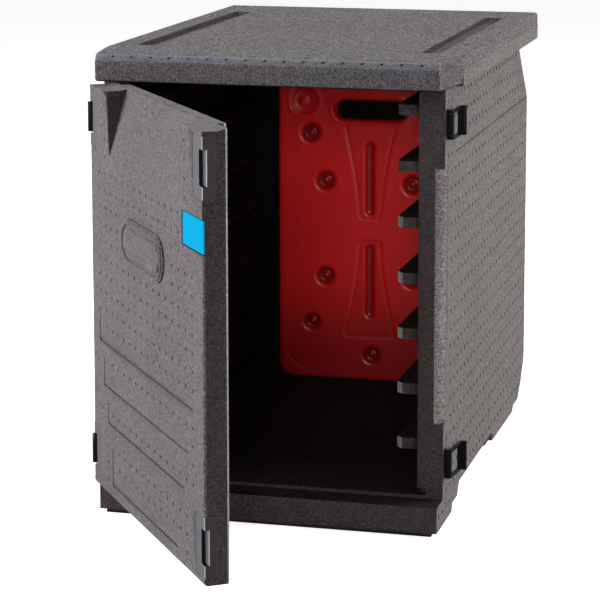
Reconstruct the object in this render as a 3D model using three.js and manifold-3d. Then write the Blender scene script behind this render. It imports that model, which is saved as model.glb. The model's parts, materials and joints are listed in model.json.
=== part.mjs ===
// An insulated, front-loading food carrier for 600 x 400 mm trays, with its door open and a
// slab-shaped food warmer standing at the back of the cabin.
//
// Millimetres, +Z up, +X to the carrier's right as seen from the front, +Y towards its back.
// Geometry is laid out with y = 0 on the front of the sill and the closed door, and the whole
// group is then moved so that the origin is under the middle of the front foot.
import * as THREE from "three";
import { mergeVertices } from "three/addons/utils/BufferGeometryUtils.js";
import Module from "manifold-3d";

const wasm = await Module();
wasm.setup();

// ---- driving dimensions ----

const GAP = 0.3; // clearance between separate pieces that touch on the real object

const carrier = {
  width: 540, // across the rim
  depth: 770,
  height: 687,
  wallHalf: 255, // half width of the lower walls
  rearY: 757,
  seamZ: 667, // joint between body and lid
  rimBottomZ: 643,
};
const rimHalf = carrier.width / 2;

const front = {
  postY: 43, // plane of the two posts that the door closes against
  sillTopZ: 44,
  sillBottomZ: 6,
};

const cabin = {
  half: 217, // half width between the side walls
  floorZ: 49,
  backY: 712,
};

const rail = { count: 7, lowestZ: 120, pitch: 81.8, thickness: 16, tipX: 181, frontY: 62, backY: 640 };

const guide = { innerX: 170, frontY: 655, topZ: 640 }; // corner columns that locate the warmer

const heel = { frontY: 706, topZ: 90 }; // step along the foot of the back wall, behind the warmer

const drainNotch = { width: 13, depth: 17, height: 11 }; // at the bottom inner corner of each post

const foot = { frontHalf: 246, frontY0: 4, frontY1: 112, rearHalf: 235, rearY0: 495, rearY1: 635 };
const frontFootCentreY = (foot.frontY0 + foot.frontY1) / 2;

const grip = { creaseZ: 544, frontY: 121, inset: 15 }; // walls lean in under the rim above the crease

const edgeGrip = { z0: 156, z1: 531, acrossX: 14, acrossY: 15 }; // chamfer on the post's outer edge

const lid = { lipBottomZ: 646, lipDepth: 99, edgeRadius: 15, cornerRadius: 6, plugDepth: 22 };
const lidSlot = { innerX: 202, outerX: 231, y0: 122, y1: 648, depth: 8 };

const door = {
  width: 508,
  bottomZ: 46,
  topZ: 641,
  rimTopZ: 644, // raised sealing edge along the top
  thickness: 35,
  rimQ: 22,
  plugInset: 45, // the plug fills the opening between the posts
  plugBottomZ: 51,
  plugDepth: 15,
  plugChamfer: 5,
  latchSideX: 254,
};
const scoop = { topHalf: 170, bottomHalf: 157, bottomZ: 549, depth: 30 };
const badge = { width: 188, height: 66, centreZ: 443, rise: 2.5 };
const label = { width: 84, height: 46, centreZ: 505, recess: 5, thickness: 2, setBack: 1, margin: 1.5 };
const panelGroove = { width: 3, depth: 2 };
const panelGrooves = [
  { startS: 37, endS: 466, topZ: 321, lowZ: 272 },
  { startS: 56, endS: 445, topZ: 248, lowZ: 209 },
  { startS: 75, endS: 424, topZ: 185, lowZ: 156 },
  { startS: 94, endS: 397, topZ: 118, lowZ: 68 },
];

const keeper = { width: 36, depth: 18.5, height: 82, wall: 9 }; // moulded corner insert in the door
const rebate = { width: 13, depth: 6, height: 47 }; // step in the keeper that a loop hooks into

const swing = {
  pinX: 261, // distance of each hinge or latch pin from the centre plane
  pinY: 52,
  pinRadius: 2,
  boreRadius: 2.35,
  eyeRadius: 5.5,
  height: 43,
  armHeight: 5,
  armOffset: -3.8, // arm centre line, measured outwards from the pin
  armThickness: 3.6,
  hookX: -11, // centre of the hook's rounded end, measured from the pin
  hookY: -49,
  hookRadius: 2.2,
  barDepth: 11,
};
const base = { halfHeight: 16, plateInner: -10.7, plateOuter: -3, frontY: -5, backY: 22 };
const levels = { upper: 594, lower: 97 }; // heights of the hinges and latches

const loopOpen = THREE.MathUtils.degToRad(10); // hinge loops, from the closed position
const doorOpen = THREE.MathUtils.degToRad(44.4); // door, from the hinge loops

// The latch loops are folded back along the wall, the lower one less far than the upper.
const latchFold = { upper: THREE.MathUtils.degToRad(179), lower: THREE.MathUtils.degToRad(174) };

const warmer = {
  width: 325,
  height: 530,
  thickness: 30,
  frontY: 674,
  bottomZ: cabin.floorZ + 0.5,
  cornerRadius: 28,
  wall: 3,
  slotHalf: 61,
  slotHeight: 33,
  slotZ: 471,
  neckX: -116,
  neckZ: 485,
  neckRadius: 10,
  capRadius: 19,
  capRise: 3,
};

// ---- materials ----

const material = (color, roughness, metalness = 0) =>
  new THREE.MeshStandardMaterial({ color, roughness, metalness });

const foam = material(0x4a4647, 0.9);
const blackNylon = material(0x151516, 0.4);
const greyNylon = material(0x77787c, 0.5);
const steel = material(0x9a9a9c, 0.35, 1);
const redPlastic = material(0x8f1218, 0.45);
const coolantGel = material(0xc9dbe2, 0.3);
const cyanCard = material(0x00b4f0, 0.5);

// ---- solids ----

function solidOf(geometry) {
  const bare = geometry.index ? geometry.toNonIndexed() : geometry.clone();
  bare.deleteAttribute("normal");
  bare.deleteAttribute("uv");
  const merged = mergeVertices(bare, 1e-4);
  return new wasm.Manifold(
    new wasm.Mesh({
      numProp: 3,
      vertProperties: new Float32Array(merged.attributes.position.array),
      triVerts: new Uint32Array(merged.index.array),
    }),
  );
}

function geometryOf(solid) {
  const mesh = solid.getMesh();
  const geometry = new THREE.BufferGeometry();
  geometry.setAttribute("position", new THREE.BufferAttribute(mesh.vertProperties, 3));
  geometry.setIndex(new THREE.BufferAttribute(mesh.triVerts, 1));
  const flat = geometry.toNonIndexed();
  flat.computeVertexNormals();
  return flat;
}

const shapeOf = (points) => new THREE.Shape(points.map(([a, b]) => new THREE.Vector2(a, b)));

function extrude(shape, length, curveSegments = 6) {
  return new THREE.ExtrudeGeometry(shape, { depth: length, bevelEnabled: false, curveSegments });
}

// A prism whose outline lies in the x-y plane, between two heights.
function upright(shape, z0, z1, curveSegments) {
  return solidOf(extrude(shape, z1 - z0, curveSegments).translate(0, 0, z0));
}

// A prism whose outline lies in the y-z plane, between two x values.
function sideways(points, x0, x1) {
  const geometry = extrude(shapeOf(points), x1 - x0);
  geometry.rotateX(Math.PI / 2).rotateZ(Math.PI / 2);
  return solidOf(geometry.translate(x0, 0, 0));
}

// A prism whose outline lies in the x-z plane, between two y values.
function lengthways(shape, y0, y1, curveSegments) {
  return solidOf(extrude(shape, y1 - y0, curveSegments).rotateX(Math.PI / 2).translate(0, y1, 0));
}

function block([x0, x1], [y0, y1], [z0, z1]) {
  const geometry = new THREE.BoxGeometry(x1 - x0, y1 - y0, z1 - z0);
  return solidOf(geometry.translate((x0 + x1) / 2, (y0 + y1) / 2, (z0 + z1) / 2));
}

function cylinder(radius, x, y, z0, z1, sides = 16) {
  const geometry = new THREE.CylinderGeometry(radius, radius, z1 - z0, sides);
  return solidOf(geometry.rotateX(Math.PI / 2).translate(x, y, (z0 + z1) / 2));
}

function roundedRectangle(x0, x1, z0, z1, radius) {
  const shape = new THREE.Shape();
  shape.moveTo(x0 + radius, z0);
  shape.lineTo(x1 - radius, z0);
  shape.absarc(x1 - radius, z0 + radius, radius, -Math.PI / 2, 0);
  shape.lineTo(x1, z1 - radius);
  shape.absarc(x1 - radius, z1 - radius, radius, 0, Math.PI / 2);
  shape.lineTo(x0 + radius, z1);
  shape.absarc(x0 + radius, z1 - radius, radius, Math.PI / 2, Math.PI);
  shape.lineTo(x0, z0 + radius);
  shape.absarc(x0 + radius, z0 + radius, radius, Math.PI, 1.5 * Math.PI);
  return shape;
}

function node(name, solid, look, x = 0, y = 0, z = 0) {
  const mesh = new THREE.Mesh(geometryOf(solid), look);
  mesh.name = name;
  mesh.position.set(x, y, z);
  return mesh;
}

const mirrored = (solid) => solid.mirror([1, 0, 0]);
const bothSides = (solid) => solid.add(mirrored(solid));

// ---- carrier body ----

function bodyOutline() {
  const top = carrier.seamZ - GAP;
  return [
    [0, front.sillBottomZ],
    [112, front.sillBottomZ],
    [118, 18],
    [156, 18],
    [169, 36.5],
    [437, 36.5],
    [450, 22],
    [642, 20],
    [652, 29],
    [697, 29],
    [729, 54],
    [carrier.rearY, 88],
    [carrier.rearY, top],
    [lid.lipDepth + GAP, top],
    [lid.lipDepth + GAP, lid.lipBottomZ - GAP],
    [front.postY, lid.lipBottomZ - GAP],
    [front.postY, front.sillTopZ],
    [0, front.sillTopZ],
  ];
}

function rails() {
  const { tipX, frontY, backY, thickness, lowestZ, pitch, count } = rail;
  const root = cabin.half + 1;
  const corner = 9;
  const plan = shapeOf([
    [root, frontY],
    [root, backY],
    [tipX, backY],
    [tipX, frontY + corner],
    [tipX + corner, frontY],
  ]);
  let all = null;
  for (let i = 0; i < count; i += 1) {
    const z = lowestZ + i * pitch;
    const one = upright(plan, z - thickness / 2, z + thickness / 2);
    all = all ? all.add(one) : one;
  }
  return bothSides(all);
}

function gripCuts() {
  const outer = carrier.wallHalf + 1;
  const slope = grip.inset / (carrier.rimBottomZ - grip.creaseZ);
  const inner = carrier.wallHalf - grip.inset;
  const sideWedge = shapeOf([
    [carrier.wallHalf, grip.creaseZ],
    [outer, grip.creaseZ - slope],
    [outer, carrier.rimBottomZ],
    [inner, carrier.rimBottomZ],
  ]);
  const rearWedge = [
    [carrier.rearY, grip.creaseZ],
    [carrier.rearY - grip.inset, carrier.rimBottomZ],
    [carrier.rearY + 1, carrier.rimBottomZ],
    [carrier.rearY + 1, grip.creaseZ - slope],
  ];
  const sides = bothSides(lengthways(sideWedge, grip.frontY, carrier.rearY + 1));
  return sides.add(sideways(rearWedge, -outer, outer));
}

function edgeGripCuts() {
  const corner = shapeOf([
    [carrier.wallHalf - edgeGrip.acrossX, front.postY],
    [carrier.wallHalf - edgeGrip.acrossX, front.postY - 1],
    [carrier.wallHalf + 1, front.postY - 1],
    [carrier.wallHalf + 1, front.postY + edgeGrip.acrossY],
    [carrier.wallHalf, front.postY + edgeGrip.acrossY],
  ]);
  return bothSides(upright(corner, edgeGrip.z0, edgeGrip.z1));
}

function basePocket(level) {
  const outer = carrier.wallHalf + 1;
  const inner = swing.pinX + base.plateInner - GAP;
  return block(
    [inner, outer],
    [swing.pinY + base.frontY - GAP, swing.pinY + base.backY + GAP],
    [level - base.halfHeight - GAP, level + base.halfHeight + GAP],
  );
}

function bodyShell() {
  const { wallHalf, depth, seamZ, rimBottomZ } = carrier;
  const flange = block([-rimHalf, rimHalf], [lid.lipDepth + GAP, depth], [rimBottomZ, seamZ - GAP]);
  const frontFoot = block([-foot.frontHalf, foot.frontHalf], [foot.frontY0, foot.frontY1], [0, 20]);
  const rearFoot = block([-foot.rearHalf, foot.rearHalf], [foot.rearY0, foot.rearY1], [0, 30]);
  const hollow = block([-cabin.half, cabin.half], [-1, cabin.backY], [cabin.floorZ, seamZ + 1]);
  const column = block(
    [guide.innerX, cabin.half + 1],
    [guide.frontY, cabin.backY + 1],
    [cabin.floorZ - 1, guide.topZ],
  );
  const heelStep = block(
    [-cabin.half - 1, cabin.half + 1],
    [heel.frontY, cabin.backY + 1],
    [cabin.floorZ - 1, heel.topZ],
  );
  const drain = block(
    [cabin.half - 1, cabin.half + drainNotch.width],
    [front.postY - 1, front.postY + drainNotch.depth],
    [cabin.floorZ, cabin.floorZ + drainNotch.height],
  );

  return sideways(bodyOutline(), -wallHalf, wallHalf)
    .subtract(gripCuts())
    .add(flange)
    .add(frontFoot)
    .add(rearFoot)
    .subtract(hollow)
    .add(rails())
    .add(bothSides(column))
    .add(heelStep)
    .subtract(edgeGripCuts())
    .subtract(bothSides(drain))
    .subtract(bothSides(basePocket(levels.upper)))
    .subtract(bothSides(basePocket(levels.lower)));
}

// ---- lid ----

function lidOutline() {
  const { depth, height, seamZ } = carrier;
  const steps = 5;
  const points = [[0, lid.lipBottomZ]];
  for (let i = 0; i <= steps; i += 1) {
    const angle = (Math.PI / 2) * (i / steps);
    points.push([
      lid.edgeRadius * (1 - Math.cos(angle)),
      height - lid.edgeRadius * (1 - Math.sin(angle)),
    ]);
  }
  points.push([depth - lid.cornerRadius, height], [depth, height - lid.cornerRadius]);
  points.push([depth, seamZ], [lid.lipDepth, seamZ], [lid.lipDepth, lid.lipBottomZ]);
  return points;
}

function topLid() {
  const plan = shapeOf([
    [-carrier.wallHalf, 0],
    [carrier.wallHalf, 0],
    [rimHalf, lid.lipDepth],
    [rimHalf, carrier.depth],
    [-rimHalf, carrier.depth],
    [-rimHalf, lid.lipDepth],
  ]);
  const plugHalf = cabin.half - 0.5;
  const plug = block(
    [-plugHalf, plugHalf],
    [lid.lipDepth - 1, cabin.backY - 0.5],
    [carrier.seamZ - lid.plugDepth, carrier.seamZ + 1],
  );
  const slot = block(
    [lidSlot.innerX, lidSlot.outerX],
    [lidSlot.y0, lidSlot.y1],
    [carrier.height - lidSlot.depth, carrier.height + 1],
  );
  return sideways(lidOutline(), -rimHalf, rimHalf)
    .intersect(upright(plan, lid.lipBottomZ - 1, carrier.height + 1))
    .add(plug)
    .subtract(bothSides(slot));
}

// ---- door: s runs from its hinge side to its latch side, q from its outer face inwards ----

const doorX = (s) => s - door.latchSideX; // s on the closed door
const doorMiddle = door.width / 2;

function doorBlank() {
  const { width, thickness, bottomZ, topZ, rimTopZ, rimQ } = door;
  const profile = [
    [0, bottomZ],
    [thickness, bottomZ],
    [thickness, rimTopZ],
    [rimQ, topZ],
    [0, topZ],
  ];
  return sideways(profile, doorX(0), doorX(width));
}

function doorPlug() {
  const { plugInset, thickness, plugDepth, plugChamfer, width, plugBottomZ, rimTopZ } = door;
  const inner = thickness + plugDepth;
  const low = doorX(plugInset);
  const high = doorX(width - plugInset);
  const plan = shapeOf([
    [low, thickness - 1],
    [high, thickness - 1],
    [high, inner - plugChamfer],
    [high - plugChamfer, inner],
    [low + plugChamfer, inner],
    [low, inner - plugChamfer],
  ]);
  return upright(plan, plugBottomZ, rimTopZ);
}

function scoopCut() {
  const slope = scoop.depth / (door.topZ - scoop.bottomZ);
  const above = door.rimTopZ + 4;
  const wedge = [
    [-1, scoop.bottomZ - 1 / slope],
    [(above - scoop.bottomZ) * slope, above],
    [-1, above],
  ];
  const middle = doorX(doorMiddle);
  const trapezium = shapeOf([
    [middle - scoop.bottomHalf, scoop.bottomZ - 10],
    [middle + scoop.bottomHalf, scoop.bottomZ - 10],
    [middle + scoop.topHalf, above + 1],
    [middle - scoop.topHalf, above + 1],
  ]);
  return sideways(wedge, doorX(0), doorX(door.width)).intersect(lengthways(trapezium, -2, door.thickness));
}

function panelGrooveCut({ startS, endS, topZ, lowZ }) {
  const { width, depth } = panelGroove;
  const drop = block([doorX(startS), doorX(startS + width)], [-1, depth], [lowZ, topZ]);
  const run = block([doorX(startS), doorX(endS)], [-1, depth], [lowZ - width, lowZ]);
  return drop.add(run);
}

function doorBadge() {
  const x = doorX(doorMiddle);
  const z = badge.centreZ;
  const [w, h] = [badge.width / 2, badge.height / 2];
  return lengthways(roundedRectangle(x - w, x + w, z - h, z + h, h - 1), -badge.rise, 1);
}

// The keeper's L-shaped outline for the hinge side, grown by a clearance.
function keeperOutline(grow) {
  const { width, depth, wall } = keeper;
  return shapeOf([
    [doorX(-1), -1],
    [doorX(width + grow), -1],
    [doorX(width + grow), wall + grow],
    [doorX(wall + grow), wall + grow],
    [doorX(wall + grow), depth + grow],
    [doorX(-1), depth + grow],
  ]);
}

function keeperPocket(level) {
  const half = keeper.height / 2 + GAP;
  return upright(keeperOutline(GAP), level - half, level + half);
}

function doorKeeper(level) {
  const half = keeper.height / 2;
  const step = rebate.height / 2;
  const face = block([doorX(0), doorX(keeper.width)], [0, keeper.depth], [level - half, level + half]);
  const cut = block([doorX(-1), doorX(rebate.width)], [-1, rebate.depth], [level - step, level + step]);
  return upright(keeperOutline(0), level - half, level + half).intersect(face).subtract(cut);
}

function labelRecess() {
  const { width, height, centreZ, recess } = label;
  return block(
    [doorX(door.width - width), doorX(door.width + 1)],
    [-1, recess],
    [centreZ - height / 2, centreZ + height / 2],
  );
}

function labelPlate() {
  const { width, height, centreZ, thickness, setBack, margin } = label;
  return block(
    [doorX(door.width - width + margin), doorX(door.width - 0.5)],
    [setBack, setBack + thickness],
    [centreZ - height / 2 + margin, centreZ + height / 2 - margin],
  );
}

function doorPanel() {
  let panel = doorBlank().add(doorPlug()).subtract(scoopCut()).add(doorBadge()).subtract(labelRecess());
  for (const groove of panelGrooves) panel = panel.subtract(panelGrooveCut(groove));
  for (const level of Object.values(levels)) panel = panel.subtract(bothSides(keeperPocket(level)));
  return panel;
}

// ---- hinge and latch hardware, drawn for the right side with the pin on the z axis ----

function armOutline() {
  const { armOffset, armThickness, hookX, hookY, hookRadius } = swing;
  const outer = armOffset + armThickness / 2;
  const inner = armOffset - armThickness / 2;
  const shape = new THREE.Shape();
  shape.moveTo(outer, 0);
  shape.lineTo(inner, 0);
  shape.lineTo(inner, hookY + hookRadius);
  shape.lineTo(hookX, hookY + hookRadius);
  shape.absarc(hookX, hookY, hookRadius, Math.PI / 2, 1.5 * Math.PI);
  shape.lineTo(outer - 3, hookY - hookRadius);
  shape.lineTo(outer, hookY - hookRadius + 3);
  return shape;
}

function swingLoop() {
  const { height, armHeight, eyeRadius, boreRadius, hookY, barDepth } = swing;
  const half = height / 2;
  const frame = upright(armOutline(), -half, half);
  const window = block([-30, 30], [hookY + barDepth, eyeRadius + 1], [armHeight - half, half - armHeight]);
  const topEye = cylinder(eyeRadius, 0, 0, half - armHeight, half);
  const bottomEye = cylinder(eyeRadius, 0, 0, -half, armHeight - half);
  const bore = cylinder(boreRadius, 0, 0, -half - 1, half + 1);
  return frame.subtract(window).add(topEye).add(bottomEye).subtract(bore);
}

function pinBase() {
  const { halfHeight, plateInner, plateOuter, frontY, backY } = base;
  const plate = block([plateInner, plateOuter], [frontY, backY], [-halfHeight, halfHeight]);
  const taper = upright(
    shapeOf([[plateOuter, backY], [plateOuter + 5, 3], [plateOuter + 12, 30]]),
    -halfHeight - 1,
    halfHeight + 1,
  );
  const barrel = cylinder(swing.eyeRadius, 0, 0, -halfHeight, halfHeight);
  const bore = cylinder(swing.boreRadius, 0, 0, -halfHeight - 1, halfHeight + 1);
  return plate.subtract(taper).add(barrel).subtract(bore);
}

function pin() {
  const half = swing.height / 2;
  return cylinder(swing.pinRadius, 0, 0, -half, half);
}

// ---- food warmer: a hollow plastic slab filled with gel ----

function slabShape(inset) {
  const half = warmer.width / 2 - inset;
  return roundedRectangle(-half, half, inset, warmer.height - inset, warmer.cornerRadius - inset);
}

function slotShape(grow) {
  const halfHeight = warmer.slotHeight / 2 + grow;
  const halfWidth = warmer.slotHalf + grow;
  const { slotZ } = warmer;
  return roundedRectangle(-halfWidth, halfWidth, slotZ - halfHeight, slotZ + halfHeight, halfHeight - 1);
}

function slab(inset) {
  const { thickness } = warmer;
  const body = lengthways(slabShape(inset), inset, thickness - inset);
  return body.subtract(lengthways(slotShape(inset), -1, thickness + 1));
}

function across(radius, y0, y1, sides = 20) {
  const geometry = new THREE.CylinderGeometry(radius, radius, y1 - y0, sides);
  return solidOf(geometry.translate(warmer.neckX, (y0 + y1) / 2, warmer.neckZ));
}

function warmerShell() {
  const { wall, neckRadius } = warmer;
  return slab(0).subtract(slab(wall)).subtract(across(neckRadius, -1, wall + 1));
}

const warmerFill = () => slab(warmer.wall + GAP);

function warmerCap() {
  const { capRadius, capRise, neckRadius, wall } = warmer;
  return across(capRadius, -capRise, -GAP).add(across(neckRadius - GAP, -capRise, wall - GAP));
}

// ---- assembly ----

function hardware(side, name, level, rotation) {
  const handed = (solid) => (side < 0 ? mirrored(solid) : solid);
  const group = new THREE.Group();
  group.position.set(side * swing.pinX, swing.pinY, level);
  group.add(node(`${name}_base`, handed(pinBase()), blackNylon));
  group.add(node(`${name}_pin`, handed(pin()), steel));
  const swinging = new THREE.Group();
  swinging.rotation.z = rotation;
  swinging.add(node(`${name}_loop`, handed(swingLoop()), blackNylon));
  group.add(swinging);
  return group;
}

function doorGroup() {
  const pieces = new THREE.Group();
  const pivot = new THREE.Vector2(-swing.pinX - swing.hookX, swing.pinY + swing.hookY);
  pieces.position.set(-pivot.x, -pivot.y, 0);
  pieces.add(node("door_panel", doorPanel(), foam));
  pieces.add(node("label_plate", labelPlate(), cyanCard));
  for (const [where, level] of Object.entries(levels)) {
    const insert = doorKeeper(level);
    pieces.add(node(`hinge_keeper_${where}`, insert, greyNylon));
    pieces.add(node(`latch_keeper_${where}`, mirrored(insert), greyNylon));
  }
  const turning = new THREE.Group();
  turning.position.set(-swing.hookX, swing.hookY, 0);
  turning.rotation.z = -doorOpen;
  turning.add(pieces);
  const onLoops = new THREE.Group();
  onLoops.position.set(-swing.pinX, swing.pinY, 0);
  onLoops.rotation.z = -loopOpen;
  onLoops.add(turning);
  return onLoops;
}

function warmerGroup() {
  const group = new THREE.Group();
  group.position.set(0, warmer.frontY, warmer.bottomZ);
  group.add(node("warmer_shell", warmerShell(), redPlastic));
  group.add(node("warmer_gel", warmerFill(), coolantGel));
  group.add(node("warmer_cap", warmerCap(), redPlastic));
  return group;
}

const foodCarrier = new THREE.Group();
foodCarrier.position.set(0, -frontFootCentreY, 0);
foodCarrier.add(node("body_shell", bodyShell(), foam));
foodCarrier.add(node("top_lid", topLid(), foam));
for (const [where, level] of Object.entries(levels)) {
  foodCarrier.add(hardware(-1, `hinge_${where}`, level, -loopOpen));
  foodCarrier.add(hardware(1, `latch_${where}`, level, latchFold[where]));
}
foodCarrier.add(doorGroup());
foodCarrier.add(warmerGroup());

export default foodCarrier;
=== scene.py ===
"""Looks for the insulated food carrier: moulded bead foam, nylon hardware and a red food warmer."""

import json
import math

import bmesh
import bpy
import numpy as np
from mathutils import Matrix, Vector


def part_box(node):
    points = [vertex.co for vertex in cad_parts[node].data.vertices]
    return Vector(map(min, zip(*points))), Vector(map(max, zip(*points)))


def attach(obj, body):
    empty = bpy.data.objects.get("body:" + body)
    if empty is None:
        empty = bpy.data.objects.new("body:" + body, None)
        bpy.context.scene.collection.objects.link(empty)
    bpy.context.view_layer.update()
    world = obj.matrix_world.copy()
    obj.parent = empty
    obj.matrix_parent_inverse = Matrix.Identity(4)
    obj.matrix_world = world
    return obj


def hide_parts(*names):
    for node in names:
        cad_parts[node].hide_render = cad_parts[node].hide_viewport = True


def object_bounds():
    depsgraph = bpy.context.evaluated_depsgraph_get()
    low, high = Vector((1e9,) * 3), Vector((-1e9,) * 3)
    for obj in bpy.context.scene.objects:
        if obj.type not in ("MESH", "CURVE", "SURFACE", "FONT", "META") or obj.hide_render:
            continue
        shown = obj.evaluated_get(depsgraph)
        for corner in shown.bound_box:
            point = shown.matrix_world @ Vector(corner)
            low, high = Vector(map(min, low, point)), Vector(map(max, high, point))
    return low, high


MM = 0.001

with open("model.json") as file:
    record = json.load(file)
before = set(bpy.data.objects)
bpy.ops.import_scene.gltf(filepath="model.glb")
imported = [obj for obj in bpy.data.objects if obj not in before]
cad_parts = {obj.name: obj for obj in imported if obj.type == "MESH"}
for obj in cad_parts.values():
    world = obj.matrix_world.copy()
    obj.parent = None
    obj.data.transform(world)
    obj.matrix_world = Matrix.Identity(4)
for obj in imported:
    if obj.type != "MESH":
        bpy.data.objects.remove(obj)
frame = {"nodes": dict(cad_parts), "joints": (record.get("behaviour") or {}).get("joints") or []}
cad_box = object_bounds()
joints = {j["name"]: j for j in frame["joints"]}

# Sizes in mm. "Front" is the outer face of the closed door, where y starts for most of the shapes.
ORIGIN_Y = -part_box("body_shell")[0].y / MM  # the row's origin is this far behind the front
CABIN_HALF = 217.0
CABIN_BACK = 712.0
POST_Y = 43.0  # plane of the posts that the door closes against
BACK_WALL_Y = 730.0  # the outside of the back wall lies beyond this
FLOOR_Z = 49.0
SILL_DEPTH = 60.0
NOTCH_TOP_Z = 60.0  # the drain notches at the feet of the posts end here
SIDE_HALF = 254.0  # beyond this, a side face is the full width of the wall
CREASE_Z = 544.0  # where the walls begin to lean in under the rim
CREASE_HALF = 1.0  # half the width of the fine line there
CREASE_DEPTH = 1.4
GRIP_LOW, GRIP_HIGH = 150.0, 540.0  # ends of the chamfers down the front edges of the walls
GRIP_DEPTH = 70.0
RAIL_ENDS = (55.0, 80.0)  # the front ends of the tray rails are between these, from the front
PALE_RAILS_Z = 490.0  # the tips of the rails below this catch the light
LID_SLOT_X = (195.0, 235.0)
LID_SLOT_Y = (100.0, 660.0)
LID_FLOOR_Z = 660.0  # above the undersides, below the bottom of the slots
LIP_DEPTH = 20.0  # the rounded front lip of the lid
FRONT_BLOCK_DEPTH = 100.0  # the taller block at the front of the lid
LEVELS = tuple(joints[f"latch_{level}_swing"]["pos_m"][2] / MM for level in ("upper", "lower"))

DOOR_ANGLE = math.radians(54.4)  # how far the door stands open at rest
DOOR_PIVOT_CLOSED = Vector((-250.0, 3.0))  # the pivot on the closed door, from the front
DOOR_HALF = 254.0
DOOR_PLUG_DEPTH = 28.0
DOOR_BOTTOM_EDGE_Z = 47.0  # the door's lowest edges are below this
DOOR_TOP_EDGE_Z = 638.0
SCOOP_FLOOR_Z = 570.0  # the faces of the hand scoop's sloping floor have their middles above this
PANELS_X = (14.0, 494.0)  # the stepped panels on the door lie between these, along the door
PANELS_TOP_Z = 480.0
LABEL_START, LABEL_TOP_Z = 300.0, 560.0  # the label's recess lies beyond and below these
PANEL_STEP_DEPTH = 5.0
KEEPER_STEP = {"half": 24.0, "width": 13.5, "depth": 6.3}

SIDE_PITCH = (27.0, 26.0)
DOOR_PITCH = (28.0, 25.0)
FILLET_PITCH = 28.5
SIDE_VENT = {"radius": 3.9, "depth": 1.5}
BACK_VENT = {"radius": 3.3, "depth": 1.3}
DOOR_VENT = {"radius": 3.1, "depth": 0.8}
FILLET_VENT = {"radius": 2.2, "depth": 1.8}
VENT_SIDES = 8
VENT_TAPER = 0.72  # radius of a vent's bottom, as a share of its mouth

FOAM_EDGE = 0.0018  # how far the shading rounds the edges, m
NYLON_EDGE = 0.0009
STREAK = 0.2  # the skin's streaks are this much finer across than along


# ---- node helpers ----


class Nodes:
    """A small builder for one material's node tree."""

    def __init__(self, name):
        self.material = bpy.data.materials.new(name)
        self.material.use_nodes = True
        self.tree = self.material.node_tree
        self.bsdf = self.tree.nodes["Principled BSDF"]

    def add(self, kind, values=None, **settings):
        node = self.tree.nodes.new(kind)
        for key, value in settings.items():
            setattr(node, key, value)
        for key, value in (values or {}).items():
            self.feed(node.inputs[key], value)
        return node

    def feed(self, socket, value):
        """Links another node's output to an input, or sets the input to a plain value."""
        if isinstance(value, bpy.types.NodeSocket):
            self.tree.links.new(value, socket)
        else:
            socket.default_value = value

    def math(self, operation, a, b=0.0, clamp=False):
        node = self.add("ShaderNodeMath", {0: a, 1: b}, operation=operation, use_clamp=clamp)
        return node.outputs[0]

    def step(self, value, low, high):
        values = {"Value": value, "From Min": low, "From Max": high}
        return self.add("ShaderNodeMapRange", values, interpolation_type="SMOOTHSTEP").outputs[0]

    def mix(self, factor, a, b):
        """Mixes two colours; a Mix node keeps its colour sockets at these places."""
        return self.add("ShaderNodeMix", {0: factor, 6: a, 7: b}, data_type="RGBA").outputs[2]

    def put(self, **values):
        """Sets inputs of the surface shader, with underscores for the spaces in their names."""
        for key, value in values.items():
            self.feed(self.bsdf.inputs[key.replace("_", " ")], value)

    def bump(self, height, distance, normal=None):
        values = {"Height": height, "Distance": distance}
        if normal is not None:
            values["Normal"] = normal
        return self.add("ShaderNodeBump", values).outputs[0]

    def soft_edge(self, radius):
        """A normal that rounds the piece's edges in the shading."""
        node = self.add("ShaderNodeBevel", {"Radius": radius})
        node.samples = 4
        return node.outputs[0]

    def local(self):
        """Coordinates of the piece in metres; they don't change when its body moves."""
        return self.add("ShaderNodeTexCoord").outputs["Object"]


def rgb(r, g, b):
    """A colour socket's value."""
    return (r, g, b, 1.0)


# ---- materials ----


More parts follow.
